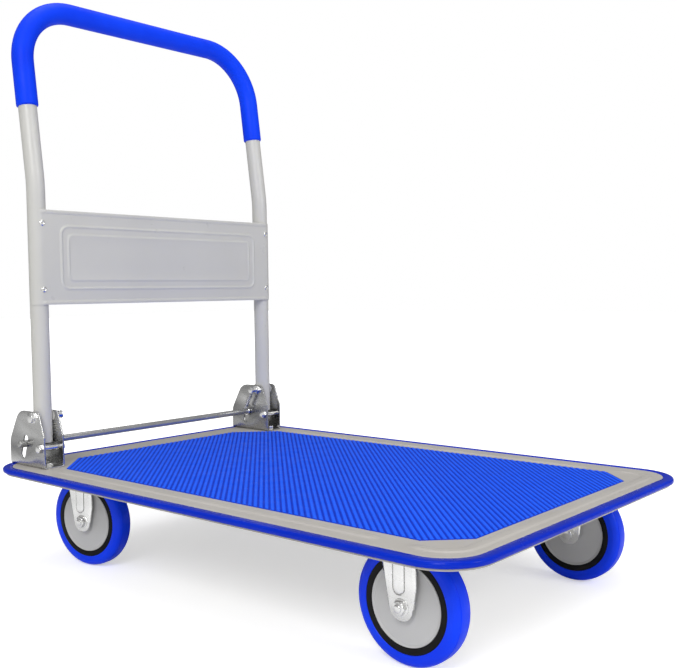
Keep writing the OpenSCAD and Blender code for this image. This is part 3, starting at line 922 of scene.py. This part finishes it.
def make_panel():
    """Stamped panel: flat between the legs and curled round the outer front of each."""
    edge = 1.0
    half_across = graded([0, 190, 222, LEG_Y], [38, 1.3, 6])
    across = [-y for y in reversed(half_across[1:])] + half_across
    curl = PANEL_FACE - LEG_X
    angles = [math.radians(a) for a in range(8, 81, 8)]
    heights = graded([panel_low.z, panel_low.z + 40, panel_high.z - 40, panel_high.z], [1.25, 10, 1.25])
    rows = []
    for z in heights:
        shrink = max(0.0, edge - min(z - panel_low.z, panel_high.z - z)) * 0.6
        front = [(PANEL_FACE + panel_relief(y, z) - shrink, y, z) for y in across]
        left = [(LEG_X + curl * math.cos(a), LEG_Y + curl * math.sin(a), z) for a in angles]
        right = [(x, -y, z) for x, y, z in reversed(left)]
        rows.append(right + front + left)
    bm = bmesh.new()
    grid = [[bm.verts.new(p) for p in row] for row in rows]
    for one, two in zip(grid, grid[1:]):
        for i in range(len(one) - 1):
            bm.faces.new((one[i], one[i + 1], two[i + 1], two[i]))
    bmesh.ops.recalc_face_normals(bm, faces=bm.faces)
    if sum(face.normal.x for face in bm.faces) < 0:
        bmesh.ops.reverse_faces(bm, faces=bm.faces)
    bmesh.ops.solidify(bm, geom=bm.faces[:], thickness=PANEL_T)
    piece("panel_sheet", bm, HANDLE_PAINT, "handle", "handle_paint", "handle_panel", smooth=45)


def graded(marks, steps):
    """Places from mark to mark, each stretch cut to its own step."""
    places = [marks[0]]
    for one, two, step in zip(marks, marks[1:], steps):
        parts = max(1, math.ceil((two - one) / step))
        places += [one + (two - one) * k / parts for k in range(1, parts + 1)]
    return places


def make_rivets():
    """Domed tubular rivets with a dimple."""
    low, high = box_mm("panel_rivets")
    radius = 4.5
    heights = (low.z + radius, high.z - radius)
    section = [(radius, 0), (radius, 0.7), (4.0, 1.3), (3.2, 1.7), (2.4, 1.7), (1.9, 1.2), (0.3, 1.0)]
    parts = []
    for side in SIDES:
        for z in heights:
            turn = Matrix.Translation((PANEL_FACE, side * LEG_Y, z)) @ Matrix.Rotation(math.pi / 2, 4, "Y")
            parts.append((lathe(section, steps=32), turn))
    piece("rivets_steel", join(*parts), BOLT_ZINC, "handle", "zinc", "panel_rivets")


def make_plugs():
    """Plastic plugs with rounded rims in the legs' ends."""
    low, high = box_mm("leg_plugs")
    rim = TUBE_R - 0.1
    bore = TUBE_R - 1.7
    section = [(rim - 1.5, low.z), (rim - 0.4, low.z + 0.2), (rim, low.z + 0.6), (rim, low.z + 1.2)]
    section += [(bore, low.z + 1.3), (bore, high.z)]
    parts = [(lathe(section, steps=40), Matrix.Translation((LEG_X, side * LEG_Y, 0))) for side in SIDES]
    piece("plugs_black", join(*parts), BLACK, "handle", "rim_plastic", "leg_plugs")


# ---- Casters ----

FORK_IN = 20.5
FORK_T = 2.2
FORK_OUT = FORK_IN + FORK_T
PLATE_T = 2.2
PLATE_Z = DECK_TOP - SHEET - PLATE_T
SWIVELS = {"rl": "swivel_left", "rr": "swivel_right"}


def wheel_frame(corner):
    """Matrix of a wheel: X forwards, Y along its axle, Z up."""
    joint = JOINTS["spin_" + corner]
    axle = Vector(joint["axis"])
    up = Vector((0, 0, 1))
    matrix = Matrix((axle.cross(up), axle, up)).transposed().to_4x4()
    return Matrix.Translation(Vector(joint["pos_m"]) / MM) @ matrix


def fork_side(top):
    """Side of a fork: a web that widens upwards, with both edges bent inwards, and a raised channel."""
    back = [(-16.6, 0.0), (-30.5, top)]
    front = [(16.4, 0.0), (14.6, top)]
    outline = rounded(
        [
            (back[1], 0),
            (front[1], 0),
            (front[0], 30),
            ((13, -15.8), 14.5),
            ((-13, -15.8), 14.5),
            (back[0], 30),
        ],
        steps=10,
    )
    web = plate([outline, channel_ring(8.8, 0, top - 1.5)], FORK_T, 0.3)
    return join(web, fork_flange(back, -5.4, 4.6), fork_flange(front, 3.3, 3.0), fork_channel(top))


def fork_flange(line, reach, depth):
    """Strip bent inwards along an edge of a fork side, narrow at its lower end."""
    (x_low, y_low), (x_high, y_high) = line
    half = FORK_T / 2
    rings = []
    for share in (0.0, 0.06, 0.14, 0.3, 0.6, 1.0):
        fade = 0.15 + 0.85 * min(1.0, share / 0.3)
        x = x_low + (x_high - x_low) * share
        y = y_low + (y_high - y_low) * share
        far = x + reach * fade
        deep = depth * fade
        rings.append([(x, y, half), (far, y, half - deep), (far, y, -half - deep), (x, y, -half)])
    return loft(rings)


def channel_ring(half, height, top):
    """Outline of the channel, round at its lower end, half its width on each side."""
    middle = -3.0
    low = 22.0
    ring = [Vector((middle + half, top, height)), Vector((middle - half, top, height))]
    for k in range(17):
        angle = math.pi + math.pi * k / 16
        ring.append(Vector((middle + half * math.cos(angle), low + half * math.sin(angle), height)))
    return ring


def fork_channel(top):
    """Raised rib on the outside of a fork side, with a groove around it."""
    groove = ((9.4, -1.0), (9.3, -0.7), (8.0, -0.6))
    rib = ((7.7, 1.4), (7.0, 2.0), (5.6, 2.4), (3.6, 2.55), (1.6, 2.6))
    return loft([channel_ring(half, height, top) for half, height in groove + rib])


def fork_legs(top):
    """Two fork sides in a wheel's frame, their outsides away from the wheel."""
    parts = []
    for side in SIDES:
        columns = Matrix(((1, 0, 0), (0, 0, side), (0, 1, 0))).to_4x4()
        shift = Matrix.Translation((0, side * (FORK_IN + FORK_T / 2), 0))
        parts.append((fork_side(top), shift @ columns))
    return join(*parts)


def caster_plate():
    """Mounting plate with round corners."""
    half_x = 45
    half_y = 36
    corners = ((half_x, half_y), (-half_x, half_y), (-half_x, -half_y), (half_x, -half_y))
    return plate([rounded([(corner, 8) for corner in corners])], PLATE_T, 0.4)


def make_rigid_fork(corner):
    """Front fork with its mounting plate."""
    name = "fork_" + corner
    matrix = wheel_frame(corner)
    top = DECK_TOP - SHEET - WHEEL_R
    mount = Matrix.Translation((0, 0, PLATE_Z + PLATE_T / 2 - WHEEL_R))
    bm = join((fork_legs(top), matrix), (caster_plate(), matrix @ mount))
    piece(name + "_steel", bm, ZINC, "deck", "zinc", name, smooth=40)


def make_swivel_fork(corner, body):
    """Rear fork with a round crown under its ball race."""
    name = "fork_" + corner
    matrix = wheel_frame(corner)
    swivel = JOINTS[SWIVELS[corner]]
    trail = (Vector(JOINTS["spin_" + corner]["pos_m"]) - Vector(swivel["pos_m"])).xy.length / MM
    top = box_mm(name)[1].z - WHEEL_R
    low = top - FORK_T
    hole_r = 6.1
    disc_r = 32
    edge = 0.6
    section = [(hole_r, low), (disc_r - edge, low), (disc_r, low + edge)]
    section += [(disc_r, top - edge), (disc_r - edge, top), (hole_r, top)]
    disc = lathe(section, close=True)
    corners = [((-8, -FORK_OUT), 0), ((18, -FORK_OUT), 3), ((18, FORK_OUT), 3), ((-8, FORK_OUT), 0)]
    bridge = plate([rounded(corners)], FORK_T, 0.4)
    over_disc = matrix @ Matrix.Translation((-trail, 0, 0))
    over_bridge = matrix @ Matrix.Translation((0, 0, top - FORK_T / 2))
    bm = join((fork_legs(top - 0.5), matrix), (disc, over_disc), (bridge, over_bridge))
    piece(name + "_steel", bm, ZINC, body, "zinc", name, smooth=40)


def make_axle(corner, body):
    """Axle bolt with its head inside, and its nut and round end outside the fork."""
    out = 1 if corner.endswith("l") else -1
    matrix = wheel_frame(corner)
    outward = matrix @ along_y((0, 0, 0), out)
    radius = 5.0
    section = [(10.4, FORK_OUT), (10.4, FORK_OUT + 0.6), (9.8, FORK_OUT + 0.9), (radius, FORK_OUT + 0.9)]
    washer = lathe(section, steps=40)
    nut = hex_head(9.0, FORK_OUT + 0.5, FORK_OUT + 6)
    end = bolt_end(radius, -FORK_OUT - 1, FORK_OUT + 8)
    head = (hex_head(8.6, 0, 6), upside_down((0, 0, -FORK_OUT)))
    bolt = join(end, head)
    piece("axle_bolt_" + corner, join((bolt, outward)), BOLT_ZINC, body, "zinc", "axle_" + corner)
    hexes = join((join(nut, washer), outward))
    piece("axle_hex_" + corner, hexes, BOLT_ZINC, body, "zinc", "axle_nut_" + corner)


def make_wheel(corner):
    """Tyre, rim, cover discs and bearing sleeve."""
    matrix = wheel_frame(corner) @ along_y((0, 0, 0))
    half = 14.6
    rim_r = 57.0
    disc_r = 48.5
    tyre = [(rim_r, 0.4 - half), (rim_r + 0.5, -half), (64.6, -half), (65.4, 0.35 - half), (68.4, 1.5 - half)]
    tyre += [(70.6, 3.4 - half), (71.7, 5.6 - half), (71.1, 5.9 - half), (71.2, 6.3 - half)]
    tyre += [(72.0, 6.6 - half), (72.4, 9.0 - half), (72.5, -2.5)]
    band = [(disc_r + 0.2, 0.9 - half), (disc_r + 1.0, 0.2 - half)]
    band += [(rim_r - 0.8, 0.2 - half), (rim_r, 0.7 - half)]
    web = [(11.2, -12.7), (19, -12.7), (20.5, -6), (48.7, -6)]
    rim = join(lathe(both_ways(band), 128, close=True), lathe(both_ways(web), 96, close=True))
    disc = [(11.1, 12.7), (18, 12.7), (22, 11.9), (disc_r - 3, 11.7), (disc_r - 1.2, 12.2), (disc_r, 13.4)]
    disc += [(disc_r - 0.2, 14.0), (disc_r - 1.4, 13.7), (disc_r - 3.2, 12.7)]
    disc += [(22.4, 12.9), (18.4, 13.7), (11.1, 13.8)]
    turned = [(lathe(disc, 128, close=True), Matrix.Scale(side, 4, (0, 0, 1))) for side in SIDES]
    sleeve = [(5.1, -20.2), (10.4, -20.2), (11.0, -19.6)]
    pieces = (
        ("tyre_tread_", lathe(both_ways(tyre), 128, close=True), TYRE, "tyre_blue", "tyre_", 24),
        ("rim_black_", rim, BLACK, "rim_plastic", "rim_", 35),
        ("disc_covers_", join(*turned), DISC_PAINT, "disc_paint", "discs_", 28),
        ("hub_sleeve_", lathe(both_ways(sleeve), 48, close=True), BOLT_ZINC, "zinc", "hub_", 35),
    )
    for name, bm, material, slot, node, smooth in pieces:
        mesh = join((bm, matrix))
        piece(name + corner, mesh, material, "wheel_" + corner, slot, node + corner, smooth=smooth)


def make_swivel_parts(corner):
    """Plate, ball race and king pin of a rear caster."""
    swivel = Vector(JOINTS[SWIVELS[corner]]["pos_m"]) / MM
    race_low, race_high = box_mm("swivel_race_" + corner)
    pin_low, pin_high = box_mm("kingpin_" + corner)
    place = Matrix.Translation((swivel.x, swivel.y, 0))
    mount = Matrix.Translation((0, 0, PLATE_Z + PLATE_T / 2))
    race = [(6.2, race_low.z), (23.4, race_low.z), (25.6, race_low.z + 0.5), (26.8, race_low.z + 1.8)]
    race += [(27.0, race_high.z - 0.4), (26.6, race_high.z), (6.2, race_high.z)]
    pin = [(3.0, pin_low.z + 0.3), (7.6, pin_low.z), (9.0, pin_low.z + 0.8), (8.6, pin_low.z + 2.0)]
    pin += [(6.0, pin_low.z + 2.0), (6.0, pin_high.z)]
    pieces = (
        ("mount_plate_", join((caster_plate(), mount)), ZINC, "swivel_plate_"),
        ("ball_race_", lathe(race, close=True), BOLT_ZINC, "swivel_race_"),
        ("king_pin_", lathe(pin, 40), BOLT_ZINC, "kingpin_"),
    )
    for name, bm, material, node in pieces:
        piece(name + corner, join((bm, place)), material, "deck", "zinc", node + corner)


def keep_cad_parts():
    """CAD parts under the deck that keep their own mesh and get a finish."""
    finishes = {"deck_rails": FRAME_PAINT, "deck_crossmembers": FRAME_PAINT, "caster_studs": BOLT_ZINC}
    for node, material in finishes.items():
        mesh = frame["nodes"][node].data
        mesh.materials.clear()
        mesh.materials.append(material)


# ---- Floor, lights and camera ----


def make_floor():
    """Pale floor that fades into the white backdrop where the camera sees it: a painted glow, seen by the
    camera only, weaker near the cart, where it pales the cart's shadow.
    """
    half_size = 14.0
    bm = bmesh.new()
    bmesh.ops.create_grid(bm, x_segments=8, y_segments=8, size=half_size)
    mesh = bpy.data.meshes.new("floor")
    bm.to_mesh(mesh)
    bm.free()
    ground = Surface("floor_paint", 0.75, specular=0.1)
    ground.colour(ground.noise(0.8, 2), (0.90, 0.90, 0.90), (0.93, 0.93, 0.93))
    ground.shader.inputs["Emission Color"].default_value = (1.0, 1.0, 1.0, 1.0)
    distance = ground.node("ShaderNodeVectorMath", operation="LENGTH")
    ground.link(ground.place, distance.inputs[0])
    # Painted light: the floor glows for camera rays only, at half strength near the cart, where it pales the
    # cast shadow, and at full strength from 3 m on.
    glow = map_range(ground.tree, distance.outputs["Value"], (0.8, 3.0), (0.5, 1.0))
    seen = ground.node("ShaderNodeLightPath").outputs["Is Camera Ray"]
    ground.link(ground.math("MULTIPLY", glow, seen), ground.shader.inputs["Emission Strength"])
    mesh.materials.append(ground.material)
    floor = add_object("floor", mesh)
    clear_of_wheels = 0.0006
    floor.location.z = -clear_of_wheels


def area_light(name, place, target, size, power):
    """Square soft light aimed at a point."""
    light = bpy.data.lights.new(name, "AREA")
    light.shape = "SQUARE"
    light.size = size
    light.energy = power
    obj = add_object(name, light)
    obj.location = place
    obj.rotation_euler = (Vector(target) - Vector(place)).to_track_quat("-Z", "Y").to_euler()


def make_lights():
    """Soft key at the camera's left, a fill at its right and a broad light above."""
    area_light("key", (1.5, -2.7, 2.3), (0, 0, 0.3), 1.3, 54)
    area_light("fill", (2.9, 0.4, 1.6), (0, 0, 0.3), 0.9, 24)
    area_light("top", (-0.3, 0.2, 3.2), (-0.1, 0, 0.3), 2.2, 30)
    bpy.context.scene.view_settings.view_transform = "Standard"


def make_surroundings():
    """White backdrop whose light on the object is strongest from the camera's side and from above."""
    world = bpy.data.worlds.new("studio")
    bpy.context.scene.world = world
    world.use_nodes = True
    tree = world.node_tree
    new = tree.nodes.new
    link = tree.links.new
    light = tree.nodes["Background"]
    facing = new("ShaderNodeVectorMath")
    facing.operation = "DOT_PRODUCT"
    facing.inputs[1].default_value = Vector((0.55, -0.62, 0.56)).normalized()
    link(new("ShaderNodeTexCoord").outputs["Generated"], facing.inputs[0])
    strength = map_range(tree, facing.outputs["Value"], (-0.7, 0.9), (0.14, 0.66))
    link(strength, light.inputs["Strength"])
    backdrop = new("ShaderNodeBackground")
    backdrop.inputs["Strength"].default_value = 1.0
    for background in (light, backdrop):
        background.inputs["Color"].default_value = (1.0, 1.0, 1.0, 1.0)
    choice = new("ShaderNodeMixShader")
    link(new("ShaderNodeLightPath").outputs["Is Camera Ray"], choice.inputs["Fac"])
    link(light.outputs[0], choice.inputs[1])
    link(backdrop.outputs[0], choice.inputs[2])
    link(choice.outputs[0], tree.nodes["World Output"].inputs["Surface"])


def make_camera():
    """Camera at the picture's viewing angle."""
    yaw = math.radians(41.13)
    pitch = math.radians(3.315)
    roll = math.radians(-0.781)
    back = Vector((math.sin(yaw) * math.cos(pitch), -math.cos(yaw) * math.cos(pitch), math.sin(pitch)))
    right = Vector((math.cos(yaw), math.sin(yaw), 0))
    axes = Matrix((right, back.cross(right), back)).transposed().to_4x4()
    data = bpy.data.cameras.new("camera")
    data.sensor_width = 36
    data.lens = 49.26
    data.shift_x = 0.0162
    data.shift_y = 0.0156
    data.clip_end = 60
    camera = add_object("camera", data)
    place = Matrix.Translation((0.9393, -1.0524, 0.4300))
    camera.matrix_world = place @ axes @ Matrix.Rotation(roll, 4, "Z")
    bpy.context.scene.camera = camera


# ---- The whole scene ----

make_camera()
make_floor()
make_lights()
make_surroundings()
make_deck()
make_bumper()
make_mat()
for side, letter in ((1, "l"), (-1, "r")):
    make_bracket(side, "hinge_bracket_" + letter)
    make_pivot_bolt(side, "pivot_bolt_" + letter)
    make_stop_pin(side, "stop_pin_" + letter)
    make_spring(side, "spring_" + letter)
make_base_bolts()
make_washers()
make_lock_rod()
make_handle_tube()
make_grip()
make_panel()
make_rivets()
make_plugs()
for corner in ("fl", "fr", "rl", "rr"):
    make_wheel(corner)
for corner in ("fl", "fr"):
    make_rigid_fork(corner)
    make_axle(corner, "deck")
for corner in ("rl", "rr"):
    make_swivel_fork(corner, "swivel_" + corner)
    make_axle(corner, "swivel_" + corner)
    make_swivel_parts(corner)
keep_cad_parts()
